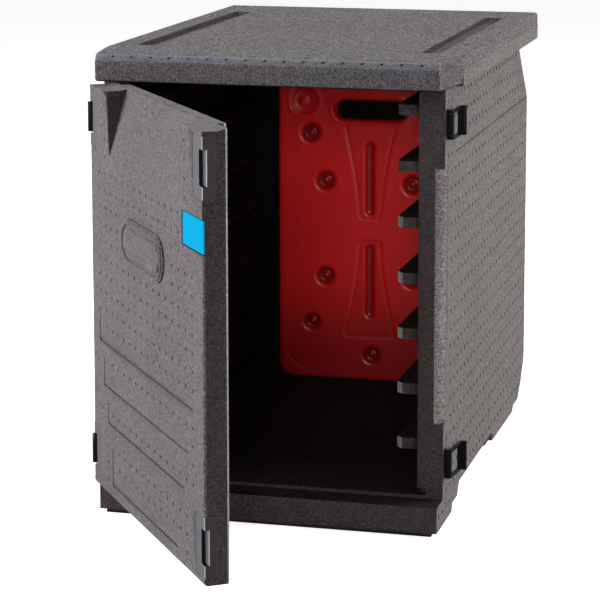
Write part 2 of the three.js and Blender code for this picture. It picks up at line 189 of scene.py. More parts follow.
def foam(
    name, base, bead=0.0032, relief=0.35, contrast=0.6, roughness=0.6, shine=0.5, sheen=0.25, turn=0.0
):
    """Moulded bead foam: fused beads, a streaky skin drawn out along the piece's depth, broad
    patches, and edges that look soft. bead is the size of a bead in metres, and turn is the
    direction of the streaks about the vertical."""
    n = Nodes(name)
    where = n.local()
    warp = n.add("ShaderNodeTexNoise", {"Vector": where, "Scale": 90.0, "Detail": 2.0})
    shifted = n.add("ShaderNodeVectorMath", {0: warp.outputs["Color"], "Scale": 0.0022}, operation="SCALE")
    moved = n.add("ShaderNodeVectorMath", {0: where, 1: shifted.outputs[0]}, operation="ADD").outputs[0]
    turned = n.add("ShaderNodeMapping", {"Vector": where, "Rotation": (0.0, 0.0, turn)}).outputs[0]
    drawn = n.add("ShaderNodeMapping", {"Vector": turned, "Scale": (1.0, STREAK, 1.0)}).outputs[0]
    beads = {"Vector": moved, "Scale": 1.0 / bead}
    cells = n.add("ShaderNodeTexVoronoi", beads, feature="DISTANCE_TO_EDGE")
    tone = n.add("ShaderNodeTexVoronoi", beads)
    streak = n.add("ShaderNodeTexNoise", {"Vector": drawn, "Scale": 330.0, "Detail": 3.0, "Roughness": 0.6})
    fine = n.add("ShaderNodeTexNoise", {"Vector": where, "Scale": 700.0, "Detail": 3.0, "Roughness": 0.7})
    broad = n.add("ShaderNodeTexNoise", {"Vector": where, "Scale": 7.0, "Detail": 3.0})
    crown = n.step(cells.outputs["Distance"], 0.0, 0.28)
    cell_tone = n.add("ShaderNodeSeparateColor", {"Color": tone.outputs["Color"]}).outputs[0]
    level = 1.0
    for value, middle, weight in (
        (cell_tone, 0.5, contrast),
        (streak.outputs["Fac"], 0.5, 4.0 * contrast),
        (fine.outputs["Fac"], 0.5, 2.0 * contrast),
        (crown, 0.7, 0.8 * contrast),
        (broad.outputs["Fac"], 0.5, 0.35),
    ):
        level = n.math("ADD", level, n.math("MULTIPLY", n.math("SUBTRACT", value, middle), weight))
    level = n.math("MAXIMUM", level, 0.08)
    height = n.math("ADD", crown, n.math("MULTIPLY", streak.outputs["Fac"], 1.2))
    colour = n.add("ShaderNodeVectorMath", {0: base, "Scale": level}, operation="SCALE").outputs[0]
    normal = n.bump(height, bead * relief, normal=n.soft_edge(FOAM_EDGE))
    n.put(Base_Color=colour, Roughness=roughness, Normal=normal)
    gentle = n.math("ADD", n.math("MULTIPLY", level, 0.5), 0.5)
    n.put(Specular_IOR_Level=n.math("MULTIPLY", gentle, shine, clamp=True))
    n.put(Sheen_Weight=n.math("MULTIPLY", gentle, sheen, clamp=True))
    n.put(Sheen_Roughness=0.5, Sheen_Tint=rgb(1.0, 0.95, 0.96))
    return n.material


def nylon(name, base, roughness, specular=0.5):
    """Moulded nylon with faint cloudy patches in its colour and its shine."""
    n = Nodes(name)
    where = n.local()
    fine = n.add("ShaderNodeTexNoise", {"Vector": where, "Scale": 1400.0, "Detail": 2.0})
    broad = n.add("ShaderNodeTexNoise", {"Vector": where, "Scale": 60.0, "Detail": 3.0})
    level = n.math("ADD", n.math("MULTIPLY", broad.outputs["Fac"], 0.3), 0.85)
    colour = n.add("ShaderNodeVectorMath", {0: base, "Scale": level}, operation="SCALE").outputs[0]
    rough = n.math("ADD", n.math("MULTIPLY", broad.outputs["Fac"], 0.12), roughness - 0.06)
    normal = n.bump(fine.outputs["Fac"], 0.00015, normal=n.soft_edge(NYLON_EDGE))
    n.put(Base_Color=colour, Roughness=rough, Normal=normal)
    n.put(Specular_IOR_Level=specular)
    return n.material


def warmer_plastic(name):
    """Blow-moulded red plastic with faint flow lines, with painted shade in its recesses and a painted
    shadow over its lower part.
    """
    n = Nodes(name)
    where = n.local()
    stretched = n.add("ShaderNodeMapping", {"Vector": where, "Scale": (120.0, 20.0, 2.5)}).outputs[0]
    flow = n.add("ShaderNodeTexNoise", {"Vector": stretched, "Scale": 1.0, "Detail": 3.0}).outputs["Fac"]
    fine = n.add("ShaderNodeTexNoise", {"Vector": where, "Scale": 700.0, "Detail": 2.0}).outputs["Fac"]
    sink = n.add("ShaderNodeAttribute", attribute_name="sink").outputs["Fac"]
    # Painted shadow: the colour darkens towards the slab's foot.
    foot = n.step(n.add("ShaderNodeSeparateXYZ", {0: where}).outputs[2], 0.08, 0.26)
    colour = n.mix(flow, rgb(0.78, 0.008, 0.009), rgb(0.88, 0.014, 0.016))
    colour = n.mix(foot, rgb(0.30, 0.004, 0.005), colour)
    # Painted shade in the recesses, by how far they are sunk.
    colour = n.mix(n.math("MULTIPLY", sink, 0.8, clamp=True), colour, rgb(0.10, 0.003, 0.004))
    n.put(Base_Color=colour, Roughness=0.32, Normal=n.bump(fine, 0.0001), Specular_IOR_Level=0.4)
    return n.material


def card(name):
    """Matt cyan card."""
    n = Nodes(name)
    fine = n.add("ShaderNodeTexNoise", {"Vector": n.local(), "Scale": 900.0, "Detail": 3.0}).outputs["Fac"]
    colour = n.mix(fine, rgb(0.0, 0.228, 0.405), rgb(0.0, 0.26, 0.465))
    n.put(Base_Color=colour, Roughness=0.6, Normal=n.bump(fine, 0.00005), Specular_IOR_Level=0.01)
    return n.material


def steel(name):
    """Steel rod with fine lines drawn along it."""
    n = Nodes(name)
    lines = n.add("ShaderNodeMapping", {"Vector": n.local(), "Scale": (2500.0, 2500.0, 40.0)}).outputs[0]
    drawn = n.add("ShaderNodeTexNoise", {"Vector": lines, "Scale": 1.0, "Detail": 2.0}).outputs["Fac"]
    n.put(Base_Color=rgb(0.5, 0.5, 0.52), Metallic=1.0, Roughness=0.35, Normal=n.bump(drawn, 0.00005))
    return n.material


def gel(name):
    """The cloudy gel inside the warmer."""
    n = Nodes(name)
    cloud = n.add("ShaderNodeTexNoise", {"Vector": n.local(), "Scale": 25.0}).outputs["Fac"]
    n.put(Base_Color=n.mix(cloud, rgb(0.5, 0.6, 0.66), rgb(0.7, 0.78, 0.82)), Roughness=0.2)
    return n.material


MATERIALS = {
    "skin": foam("foam_skin", (0.069, 0.0605, 0.0585)),
    "door": foam("foam_door", (0.065, 0.059, 0.064), turn=math.pi / 2 - DOOR_ANGLE),
    "grain": foam("foam_grain", (0.058, 0.045, 0.052), bead=0.0024, relief=1.0, contrast=0.8, sheen=0.2),
    # The lid's skin: streakier, and darker than the walls' skin as painted shade.
    "top": foam("foam_top_shade", (0.048, 0.0445, 0.0475), contrast=1.15),
    # The lid's rounded front lip: smoother, with a painted highlight in its paler, bluer colour.
    "fillet": foam("foam_fillet_highlight", (0.07, 0.077, 0.095), relief=0.12, contrast=0.3, roughness=0.45),
    # The chamfers down the front edges of the walls: coarse beads, and a paler colour as a painted
    # highlight.
    "grip": foam("foam_grip_highlight", (0.205, 0.172, 0.174), bead=0.0024, relief=1.0, contrast=0.7, sheen=0.3),
    # Painted shade: the cabin, the lid's undersides and the sill top are near black.
    "inner": foam("foam_deep_shade", (0.0085, 0.0066, 0.0064), roughness=0.8, shine=0.2, sheen=0.0),
    # Painted shade: faces that look to the front, the lid's slot walls and the upper rail ends.
    "front": foam("foam_front_shade", (0.049, 0.034, 0.036), contrast=0.5, shine=0.22, sheen=0.06),
    # Painted shade: the door's free end.
    "door_end": foam("foam_door_end_shade", (0.03, 0.019, 0.0195), contrast=0.5, shine=0.22, sheen=0.06),
    # Painted highlight: the rounded rear and top edges of the door and the tips of the lower rails; a little
    # smoother too.
    "edge": foam("foam_edge_highlight", (0.13, 0.125, 0.125), relief=0.15, contrast=0.3, roughness=0.4, sheen=0.4),
    # Painted shade: the hollows of the vents, the crease line on the walls and the low steps of the door's
    # panels.
    "door_vent": foam("foam_door_vent_shade", (0.031, 0.027, 0.03), relief=0.1, roughness=0.8, sheen=0.0),
    "vent": foam("foam_vent_shade", (0.022, 0.018, 0.019), relief=0.1, roughness=0.8, sheen=0.0),
    "keeper": nylon("keeper_nylon", (0.085, 0.085, 0.093), 0.45),
    # Painted highlight on the keepers' corners beside the steps.
    "keeper_rim": nylon("keeper_rim_highlight_nylon", (0.3, 0.3, 0.31), 0.4),
    # Painted shade on the keepers' end faces.
    "keeper_end": nylon("keeper_end_shade_nylon", (0.028, 0.021, 0.023), 0.5, specular=0.3),
    "black": nylon("black_nylon", (0.0045, 0.0042, 0.005), 0.2, specular=0.12),
    "red": warmer_plastic("warmer_plastic"),
    "cyan": card("label_card"),
    "steel": steel("pin_steel"),
    "gel": gel("warmer_gel_fill"),
}
FOAM_LOOKS = ("skin", "grain", "inner", "front", "vent", "edge", "grip")
DOOR_LOOKS = ("door", "grain", "inner", "door_end", "door_vent", "edge", "grip")
LID_LOOKS = ("top", "grain", "inner", "front", "vent", "fillet", "grip")
KEEPER_LOOKS = ("keeper", "black", "keeper_end", "keeper_rim")
SKIN, GRAIN, DEEP_SHADE, SHADED_FACE, SHADED_HOLLOW, PAINTED_HIGHLIGHT, LIT_GRIP = range(len(FOAM_LOOKS))


# ---- mesh helpers ----


def softened_mesh(node, width=0.0, chosen=None):
    """A copy of a CAD node's mesh. With a width, its coplanar triangles are joined and its chosen
    edges are rounded; other edges stay sharp and are only softened in the shading."""
    bm = bmesh.new()
    bm.from_mesh(frame["nodes"][node].data)
    bmesh.ops.remove_doubles(bm, verts=bm.verts, dist=2e-6)
    if width:
        bmesh.ops.dissolve_limit(
            bm, angle_limit=math.radians(0.6), verts=bm.verts, edges=bm.edges, use_dissolve_boundaries=False
        )
        bm.normal_update()
        sharp = [e for e in bm.edges if e.is_manifold and e.calc_face_angle() > math.radians(28)]
        bmesh.ops.bevel(
            bm, geom=[e for e in sharp if chosen(e)], offset=width * MM, offset_type="OFFSET",
            segments=3, profile=0.5, affect="EDGES", clamp_overlap=False,
        )
    mesh = bpy.data.meshes.new(node)
    bm.to_mesh(mesh)
    bm.free()
    return mesh


def mesh_of(name, verts, faces, sink=None):
    """A mesh without the vertices that no face uses, with all its normals turned outwards. sink
    is how much painted shade each vertex gets, for the warmer's plastic."""
    mesh = bpy.data.meshes.new(name)
    mesh.from_pydata(verts, [], faces)
    if sink is not None:
        mesh.attributes.new("sink", "FLOAT", "POINT").data.foreach_set("value", sink)
    bm = bmesh.new()
    bm.from_mesh(mesh)
    bmesh.ops.delete(bm, geom=[v for v in bm.verts if not v.link_faces], context="VERTS")
    bmesh.ops.recalc_face_normals(bm, faces=bm.faces)
    bm.to_mesh(mesh)
    bm.free()
    return mesh


def ring_faces(rings, count, closed):
    """Faces between rings of count vertices each: a tube closed on itself, or one with flat ends."""
    total = rings * count
    faces = []
    for ring in range(rings if closed else rings - 1):
        for i in range(count):
            a, b = ring * count + i, ring * count + (i + 1) % count
            faces.append((a, b, (b + count) % total, (a + count) % total))
    if not closed:
        faces.append(tuple(range(count)))
        faces.append(tuple(range(total - count, total)))
    return faces


def link(obj):
    bpy.context.scene.collection.objects.link(obj)
    return obj


def piece_from(mesh, name, body, node, looks, flat=True):
    """Makes a visible piece that moves with a body and stands for a CAD node, if one is given.
    flat keeps large flat faces flat in the shading."""
    obj = link(bpy.data.objects.new(name, mesh))
    mesh.shade_smooth()
    mesh.set_sharp_from_angle(angle=math.radians(35))
    dress(mesh, looks)
    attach(obj, body)
    if node:
        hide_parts(node)
    if flat:
        modifier = obj.modifiers.new("weighted", "WEIGHTED_NORMAL")
        modifier.mode = "FACE_AREA"
        modifier.weight = 80
        modifier.keep_sharp = True
    return obj


def dress(mesh, looks):
    """Gives a mesh its materials and keeps which face has which."""
    indices = [polygon.material_index for polygon in mesh.polygons]
    mesh.materials.clear()
    for look in looks:
        mesh.materials.append(MATERIALS[look])
    mesh.polygons.foreach_set("material_index", indices)


def paint(mesh, choose):
    """Sets each face's material from its centre and its normal."""
    for polygon in mesh.polygons:
        polygon.material_index = choose(polygon.center.copy(), polygon.normal.copy())


def to_front(point):
    """A point in mm with y measured from the plane of the closed door's outer face."""
    return Vector((point.x / MM, point.y / MM + ORIGIN_Y, point.z / MM))


door_pivot = to_front(Vector(joints["door_swing"]["pos_m"]))


def to_door(point):
    """(s, q, z) in mm: along the door from its hinge edge, inwards from its outer face, and up."""
    flat = Vector((point.x / MM - door_pivot.x, point.y / MM + ORIGIN_Y - door_pivot.y))
    cos, sin = math.cos(DOOR_ANGLE), math.sin(DOOR_ANGLE)
    x = flat.x * cos - flat.y * sin + DOOR_PIVOT_CLOSED.x
    y = flat.x * sin + flat.y * cos + DOOR_PIVOT_CLOSED.y
    return Vector((x + DOOR_HALF, y, point.z / MM))


def from_door(s, q, z):
    """The place in metres of a point given as (s, q, z) on the door."""
    x, y = s - DOOR_HALF - DOOR_PIVOT_CLOSED.x, q - DOOR_PIVOT_CLOSED.y
    cos, sin = math.cos(DOOR_ANGLE), math.sin(DOOR_ANGLE)
    flat_x = x * cos + y * sin + door_pivot.x
    flat_y = -x * sin + y * cos + door_pivot.y
    return Vector((flat_x * MM, (flat_y - ORIGIN_Y) * MM, z * MM))


DOOR_ALONG = (from_door(1, 0, 0) - from_door(0, 0, 0)).normalized()
DOOR_OUT = (from_door(0, -1, 0) - from_door(0, 0, 0)).normalized()
SCOOP_OUT = (DOOR_OUT + 0.32 * Vector((0, 0, 1))).normalized()  # the sloping floor of the hand scoop


# ---- steam vents: a grid of small round dimples pressed into the flat faces ----


def grid_lines(faces, direction, pitch):
    """Evenly spaced places along a direction, centred on the faces."""
    values = [vert.co.dot(direction) for face in faces for vert in face.verts]
    low, high = min(values), max(values)
    count = int((high - low) / pitch)
    first = low + ((high - low) - count * pitch) / 2
    return [first + i * pitch for i in range(count + 1)]


def slice_faces(bm, layer, direction, place):
    faces = [f for f in bm.faces if f[layer]]
    edges = list({e for f in faces for e in f.edges})
    verts = list({v for f in faces for v in f.verts})
    bmesh.ops.bisect_plane(
        bm, geom=verts + edges + faces, dist=1e-6, plane_co=direction * place, plane_no=direction
    )


def cut_cells(bm, layer, directions, lines):
    """Cuts the marked faces along the grid lines and joins everything inside each cell."""
    marked = [f for f in bm.faces if f[layer]]
    bmesh.ops.triangulate(bm, faces=marked)
    for direction, places in zip(directions, lines):
        for place in places:
            slice_faces(bm, layer, direction, place)

    def on_a_line(edge):
        return any(
            all(abs(v.co.dot(direction) - place) < 2e-6 for v in edge.verts)
            for direction, places in zip(directions, lines) for place in places
        )

    inner = [e for e in bm.edges if len(e.link_faces) == 2 and all(f[layer] for f in e.link_faces)]
    loose = [e for e in inner if not on_a_line(e)]
    bmesh.ops.dissolve_edges(bm, edges=loose, use_verts=False)


def zip_rings(bm, outer, inner, centre, axes):
    """Fills between two rings of vertices that both run anticlockwise round a centre."""
    def turn(vert):
        offset = vert.co - centre
        return math.atan2(offset.dot(axes[1]), offset.dot(axes[0])) % math.tau

    def unrolled(ring):
        start = min(range(len(ring)), key=lambda i: turn(ring[i]))
        ring = ring[start:] + ring[:start]
        angles = [turn(v) for v in ring]
        return ring + ring[:1], angles + [angles[0] + math.tau]

    (outer, outer_turn), (inner, inner_turn) = unrolled(outer), unrolled(inner)
    i = k = 0
    made = []
    while i < len(outer) - 1 or k < len(inner) - 1:
        step_outer = k == len(inner) - 1 or (i < len(outer) - 1 and outer_turn[i + 1] <= inner_turn[k + 1])
        if step_outer:
            made.append(bm.faces.new((outer[i], outer[i + 1], inner[k])))
            i += 1
        else:
            made.append(bm.faces.new((outer[i], inner[k + 1], inner[k])))
            k += 1
    return made


def press_vent(bm, face, centre, axes, radius, depth):
    """Swaps one flat cell for the same cell with a round, flat-bottomed dimple in its middle."""
    normal, look = face.normal.copy(), face.material_index
    rings = []
    for size, sink in ((radius, 0.0), (VENT_TAPER * radius, depth)):
        ring = []
        for i in range(VENT_SIDES):
            angle = math.tau * (i + 0.5) / VENT_SIDES
            spoke = math.cos(angle) * axes[0] + math.sin(angle) * axes[1]
            ring.append(bm.verts.new(centre + size * spoke - sink * normal))
        rings.append(ring)
    outer = list(face.verts)
    bm.faces.remove(face)
    top, low = rings
    for made in zip_rings(bm, outer, top, centre, axes):
        made.material_index = look
    hollow = [bm.faces.new((top[i - 1], top[i], low[i], low[i - 1])) for i in range(VENT_SIDES)]
    hollow.append(bm.faces.new(low))
    # Painted shade in the dimple's hollow.
    for made in hollow:
        made.material_index = SHADED_HOLLOW


def mark_flat_zone(bm, layer, facing, where):
    """Marks every face in the plane of the largest face that looks towards facing, among those
    that where() accepts, and returns that plane's normal and level."""
    near = [f for f in bm.faces if f.normal.dot(facing) > 0.95 and where(to_front(f.calc_center_median()))]
    lead = max(near, key=lambda f: f.calc_area())
    normal, level = lead.normal.copy(), lead.calc_center_median().dot(lead.normal)
    for f in near:
        flat = f.normal.dot(normal) > 0.99995
        f[layer] = int(flat and abs(f.calc_center_median().dot(normal) - level) < 5e-5)
    return normal, level


def press_vents(mesh, facing, along, where, pitch, vent):
    """Presses a grid of vents into the largest flat face that looks towards facing. The pitch is
    along and across; None across makes a single row."""
    bm = bmesh.new()
    bm.from_mesh(mesh)
    layer = bm.faces.layers.int.new("vent_zone")
    normal, level = mark_flat_zone(bm, layer, facing, where)
    along = along.normalized()
    across = normal.cross(along)
    marked = [f for f in bm.faces if f[layer]]
    sizes = [size * MM for size in pitch if size]
    directions = (along, across)[:len(sizes)]
    lines = [grid_lines(marked, direction, size) for direction, size in zip(directions, sizes)]
    cut_cells(bm, layer, directions, lines)
    for face in [f for f in bm.faces if f[layer]]:
        spans = [[v.co.dot(direction) for v in face.verts] for direction in (along, across)]
        reach = [max(values) - min(values) for values in spans]
        whole = all(abs(r - size) < 1e-5 for r, size in zip(reach, sizes))
        if whole and abs(face.calc_area() - reach[0] * reach[1]) < 1e-7:
            middle = [(max(values) + min(values)) / 2 for values in spans]
            centre = middle[0] * along + middle[1] * across + level * normal
            press_vent(bm, face, centre, (along, across), vent["radius"] * MM, vent["depth"] * MM)
    bm.faces.layers.int.remove(layer)
    bm.to_mesh(mesh)
    bm.free()


# ---- body and lid ----


def between(value, limits):
    return limits[0] < value < limits[1]


def body_look(centre, normal):
    """Painted shade on the crease line, the cabin, the sill top and the faces to the front; a painted
    highlight on the lower rail ends and on the rough grips.
    """
    p = to_front(centre)
    # Painted shade along the scribed crease line.
    crease = abs(p.z - CREASE_Z) < CREASE_HALF and abs(p.x) > SIDE_HALF - 7 and abs(normal.z) > 0.25
    if crease:
        return SHADED_HOLLOW
    faces_front = normal.y < -0.3
    above_notch = p.z > NOTCH_TOP_Z
    rail_end = faces_front and abs(p.x) < CABIN_HALF - 1 and between(p.y, RAIL_ENDS) and above_notch
    if rail_end:
        # The lower rail tips get a painted highlight, the other rail ends painted shade.
        return PAINTED_HIGHLIGHT if abs(normal.x) > 0.3 and p.z < PALE_RAILS_Z else SHADED_FACE
    # Painted shade: the cabin and the sill top take the near-black foam.
    cabin_depths = (POST_Y + 1, CABIN_BACK + 1)
    inside = abs(p.x) < CABIN_HALF + 0.5 and between(p.y, cabin_depths) and p.z > FLOOR_Z - 0.5
    sill_top = p.y < SILL_DEPTH and normal.z > 0.5 and not above_notch
    if inside or sill_top:
        return DEEP_SHADE
    chamfer = abs(normal.x) > 0.3 and faces_front and between(p.z, (GRIP_LOW, GRIP_HIGH))
    # The chamfers are paler as a painted highlight.
    if chamfer and p.y < GRIP_DEPTH:
        return LIT_GRIP
    # Painted shade on the faces that look to the front.
    return SHADED_FACE if normal.y < -0.6 else SKIN


def lid_edge_is_wide(edge):
    """The lid's outer edges, apart from those at its slots and low on its sides."""
    a, b = (to_front(v.co) for v in edge.verts)
    middle = (a + b) / 2
    at_slot = between(abs(middle.x), LID_SLOT_X) and LID_SLOT_Y[0] - 10 < middle.y < LID_SLOT_Y[1]
    low_side = middle.z < LID_FLOOR_Z + 8 and middle.y > FRONT_BLOCK_DEPTH + 1
    return not at_slot and not low_side


def lid_look(centre, normal):
    """The front block is grained; its rounded lip is smoother, with a painted highlight; the walls of the
    slots and the undersides get painted shade.
    """
    p = to_front(centre)
    if normal.y < -0.9 or (abs(normal.x) > 0.9 and p.y < FRONT_BLOCK_DEPTH):
        return GRAIN
    # Painted highlight on the rounded lip.
    if p.y < LIP_DEPTH and normal.y < -0.3 and normal.z > 0.3:
        return PAINTED_HIGHLIGHT
    in_slot = between(abs(p.x), LID_SLOT_X) and between(p.y, LID_SLOT_Y) and p.z > LID_FLOOR_Z
    # Painted shade on the walls of the slots.
    if in_slot and normal.z < 0.5:
        return SHADED_FACE
    return DEEP_SHADE if normal.z < -0.5 else SKIN


def scribe_crease(mesh):
    """Cuts the fine line where each wall begins to lean in under the rim."""
    bm = bmesh.new()
    bm.from_mesh(mesh)

    def at_crease(vert):
        return abs(vert.co.z / MM - CREASE_Z) < 0.3 and abs(vert.co.x / MM) > SIDE_HALF - 5

    edges = [e for e in bm.edges if all(at_crease(v) for v in e.verts) and e.calc_length() > 0.05]
    made = bmesh.ops.bevel(
        bm, geom=edges, offset=CREASE_HALF * MM, offset_type="OFFSET", segments=2, profile=0.5,
        affect="EDGES",
    )
    for vert in made["verts"]:
        if at_crease(vert):
            vert.co.x -= math.copysign(CREASE_DEPTH * MM, vert.co.x)
    bm.to_mesh(mesh)
    bm.free()


def on_wall(p):
    return abs(p.x) > SIDE_HALF


def on_leaning_wall(p):
    return abs(p.x) < SIDE_HALF - 1 and p.z > CREASE_Z


def build_body():
    mesh = softened_mesh("body_shell")
    scribe_crease(mesh)
    paint(mesh, body_look)
    backwards, upwards = Vector((0, 1, 0)), Vector((0, 0, 1))
    for side in (-1, 1):
        outwards = Vector((side, 0, 0))
        press_vents(mesh, outwards, backwards, on_wall, SIDE_PITCH, SIDE_VENT)
        press_vents(mesh, outwards, backwards, on_leaning_wall, SIDE_PITCH, SIDE_VENT)
    press_vents(mesh, backwards, upwards, lambda p: p.y > BACK_WALL_Y, SIDE_PITCH, BACK_VENT)
    piece_from(mesh, "body_foam", "carrier", "body_shell", FOAM_LOOKS)


def build_lid():
    mesh = softened_mesh("top_lid", 4.0, lid_edge_is_wide)
    paint(mesh, lid_look)
    forwards_and_up, rightwards = Vector((0, -0.7, 0.7)), Vector((1, 0, 0))
    press_vents(
        mesh, forwards_and_up, rightwards, lambda p: p.y < LIP_DEPTH, (FILLET_PITCH, None), FILLET_VENT
    )
    piece_from(mesh, "lid_foam", "carrier", "top_lid", LID_LOOKS)


# ---- door ----

BADGE = {"half": 94.0, "radius": 33.0, "z": 443.0, "rise": 2.5}
# Rings of the badge's relief, from outside in: how far in from its outline, and how far out.
BADGE_BORDER = ((2.8, -0.8), (3.0, 1.6), (4.2, 2.9), (6.6, 2.9), (7.8, 1.6), (8.0, -0.8))
BADGE_FIELD = ((13.0, -0.8), (13.2, 1.4), (14.5, 2.6), (16.0, 2.9))


def door_edge_is_wide(edge):
    """The door's outline: its two ends, its bottom and its top."""
    a, b = (to_door(v.co) for v in edge.verts)
    middle = (a + b) / 2
    at_end = middle.x < 1 or middle.x > 2 * DOOR_HALF - 1
    tall, wide = abs(a.z - b.z) > 60, abs(a.x - b.x) > 100
    low_or_high = middle.z < DOOR_BOTTOM_EDGE_Z or middle.z > DOOR_TOP_EDGE_Z + 2
    return (at_end and tall) or (low_or_high and wide)


def door_look(centre, normal):
    """The free end gets painted shade, the rounded rear and top edges are smoother with a painted highlight,
    and the low steps of the panels, the name field and the label's recess get painted shade."""
    p = to_door(centre)
    along, inwards = normal.dot(DOOR_ALONG), -normal.dot(DOOR_OUT)
    rear_edge = 0.2 < along < 0.98 and inwards > 0.15 and p.y > DOOR_PLUG_DEPTH
    top_edge = 0.2 < normal.z < 0.98 and inwards > 0.2 and p.z > DOOR_TOP_EDGE_Z
    if rear_edge or top_edge:
        return PAINTED_HIGHLIGHT
    panels_top = LABEL_TOP_Z if p.x > LABEL_START else PANELS_TOP_Z
    on_panels = between(p.x, PANELS_X) and between(p.z, (PANELS_X[0], panels_top))
    # Painted shade on the low steps of the panels, the name field and the label's recess.
    if on_panels and p.y < PANEL_STEP_DEPTH and inwards > -0.8:
        return SHADED_HOLLOW
    return SHADED_FACE if along > 0.97 else SKIN


def pill_loop(inset):
    """Points anticlockwise along the badge's outline, drawn in by inset."""
    radius, straight = BADGE["radius"] - inset, BADGE["half"] - BADGE["radius"]
    arc_steps = 24
    for side, start in ((1, -math.pi / 2), (-1, math.pi / 2)):
        for i in range(arc_steps + 1):
            angle = start + math.pi * i / arc_steps
            yield side * straight + radius * math.cos(angle), radius * math.sin(angle)


def badge_relief(name, section, closed):
    """A raised form on the plain name field, swept along its pill outline: the border is a closed
    tube, the inner field has a flat top."""
    verts = []
    for inset, rise in section:
        for x, z in pill_loop(inset):
            verts.append(from_door(DOOR_HALF + x, -BADGE["rise"] - rise, BADGE["z"] + z))
    mesh = mesh_of(name, verts, ring_faces(len(section), len(verts) // len(section), closed))
    piece_from(mesh, name, "door", None, ("door",), flat=False)


def build_door():
    mesh = softened_mesh("door_panel", 3.5, door_edge_is_wide)
    paint(mesh, door_look)
    press_vents(mesh, DOOR_OUT, DOOR_ALONG, lambda p: True, DOOR_PITCH, DOOR_VENT)
    press_vents(mesh, SCOOP_OUT, DOOR_ALONG, lambda p: p.z > SCOOP_FLOOR_Z, DOOR_PITCH, DOOR_VENT)
    piece_from(mesh, "door_foam", "door", "door_panel", DOOR_LOOKS)
    badge_relief("badge_border", BADGE_BORDER, closed=True)
    badge_relief("badge_field", BADGE_FIELD, closed=False)
    dress(frame["nodes"]["label_plate"].data, ("cyan",))


def keeper_look(centre, normal):
    """The wall of the step that a loop hooks into gets painted shade in black nylon; the corner beside it
    gets a painted highlight, and the end faces painted shade.
    """
    p = to_door(centre)
    level = min(LEVELS, key=lambda z: abs(z - p.z))
    beside = min(p.x, 2 * DOOR_HALF - p.x)
    at_step = abs(p.z - level) < KEEPER_STEP["half"] and beside < KEEPER_STEP["width"]
    outside = p.y < 0.3 or beside < 0.3
    along, out = normal.dot(DOOR_ALONG), normal.dot(DOOR_OUT)
    # Painted shade: the step's wall takes the black nylon.
    if at_step and p.y < KEEPER_STEP["depth"] and not outside and out < 0.5:
        return KEEPER_LOOKS.index("black")
    # Painted highlight on the corner beside the step.
    corner = 0.2 < abs(along) < 0.97 and out > 0.2
    if corner and beside < 1.5:
        return KEEPER_LOOKS.index("keeper_rim")
    # Painted shade on the end faces.
    return KEEPER_LOOKS.index("keeper_end" if along > 0.9 else "keeper")


def build_hardware():
    for side in ("hinge", "latch"):
        for level in ("upper", "lower"):
            node = f"{side}_keeper_{level}"
            mesh = softened_mesh(node, 1.0, lambda edge: True)
            paint(mesh, keeper_look)
            piece_from(mesh, f"{node}_moulding", "door", node, KEEPER_LOOKS)
            for kind, body in (("base", "carrier"), ("loop", loop_body(side, level))):
                node = f"{side}_{level}_{kind}"
                mesh = softened_mesh(node)
                piece_from(mesh, f"{node}_moulding", body, node, ("black",))
            dress(frame["nodes"][f"{side}_{level}_pin"].data, ("steel",))


def loop_body(side, level):
    return "hinge_loops" if side == "hinge" else f"latch_loop_{level}"


# ---- food warmer ----

SLAB_LOW, SLAB_HIGH = (to_front(corner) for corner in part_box("warmer_shell"))
WARMER = {
    "half": SLAB_HIGH.x,
    "height": SLAB_HIGH.z - SLAB_LOW.z,
    "depth": SLAB_HIGH.y - SLAB_LOW.y,
    "front": SLAB_LOW.y,
    "floor": SLAB_LOW.z,
    "corner": 28.0,
    "round": 7.0,
}
# In the warmer's own face, x is from its middle and z from its foot.
SLOT = {"half": 61.0, "z": 471.0, "radius": 16.5}
SLOT_LIP = {"reach": 5.0, "width": 3.5, "rise": 2.2}
DIMPLES = (  # x, z, radius
    (-104, 430, 21), (104, 430, 21),
    (-78, 348, 21), (74, 346, 21),
    (-78, 182, 20), (74, 182, 20),
    (-102, 100, 18), (102, 100, 18),
    (3, 46, 18),
)
PANELS = (  # the flared panels: wide end, narrow end, and the ends of the groove inside
    (446.0, 284.0, (409.0, 298.0)),
    (78.0, 246.0, (120.0, 232.0)),
)
PANEL_HALF = {"narrow": 18.5, "wide": 45.0}
PANEL_FLARE = 1.6
PANEL_CORNER = 7.0
CORNER_ARC = {"x": 100.0, "z": 62.0, "radius": 48.0, "fade": (4.0, 14.0)}
FULL_SHADE_DEPTH = 6.0  # a recess this deep gets the darkest painted shade
GEL_INSET, GEL_STEP = 3.3, 5.0
SLAB_STEP = 2.5  # size of the cells in the slab's grid
CAP_LOW, CAP_HIGH = (to_front(corner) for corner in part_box("warmer_cap"))
CAP = ((CAP_LOW.x + CAP_HIGH.x) / 2, (CAP_LOW.z + CAP_HIGH.z) / 2 - WARMER["floor"])
CAP_WELL = {"radius": 23.5, "depth": 2.5, "rim": 28.0, "rise": 0.8}


def smooth(value, low, high):
    """A smooth rise from 0 at low to 1 at high."""
    t = np.clip((value - low) / (high - low), 0, 1)
    return t * t * (3 - 2 * t)


def ridge(distance, width):
    """1 on a line, fading out on both sides of it."""
    return np.exp(-(distance / width) ** 2)


def segment_distance(x, z, x0, z0, x1, z1):
    """Distance to the segment between two points."""
    dx, dz = x1 - x0, z1 - z0
    t = np.clip(((x - x0) * dx + (z - z0) * dz) / max(dx * dx + dz * dz, 1e-9), 0, 1)
    return np.hypot(x - x0 - t * dx, z - z0 - t * dz)


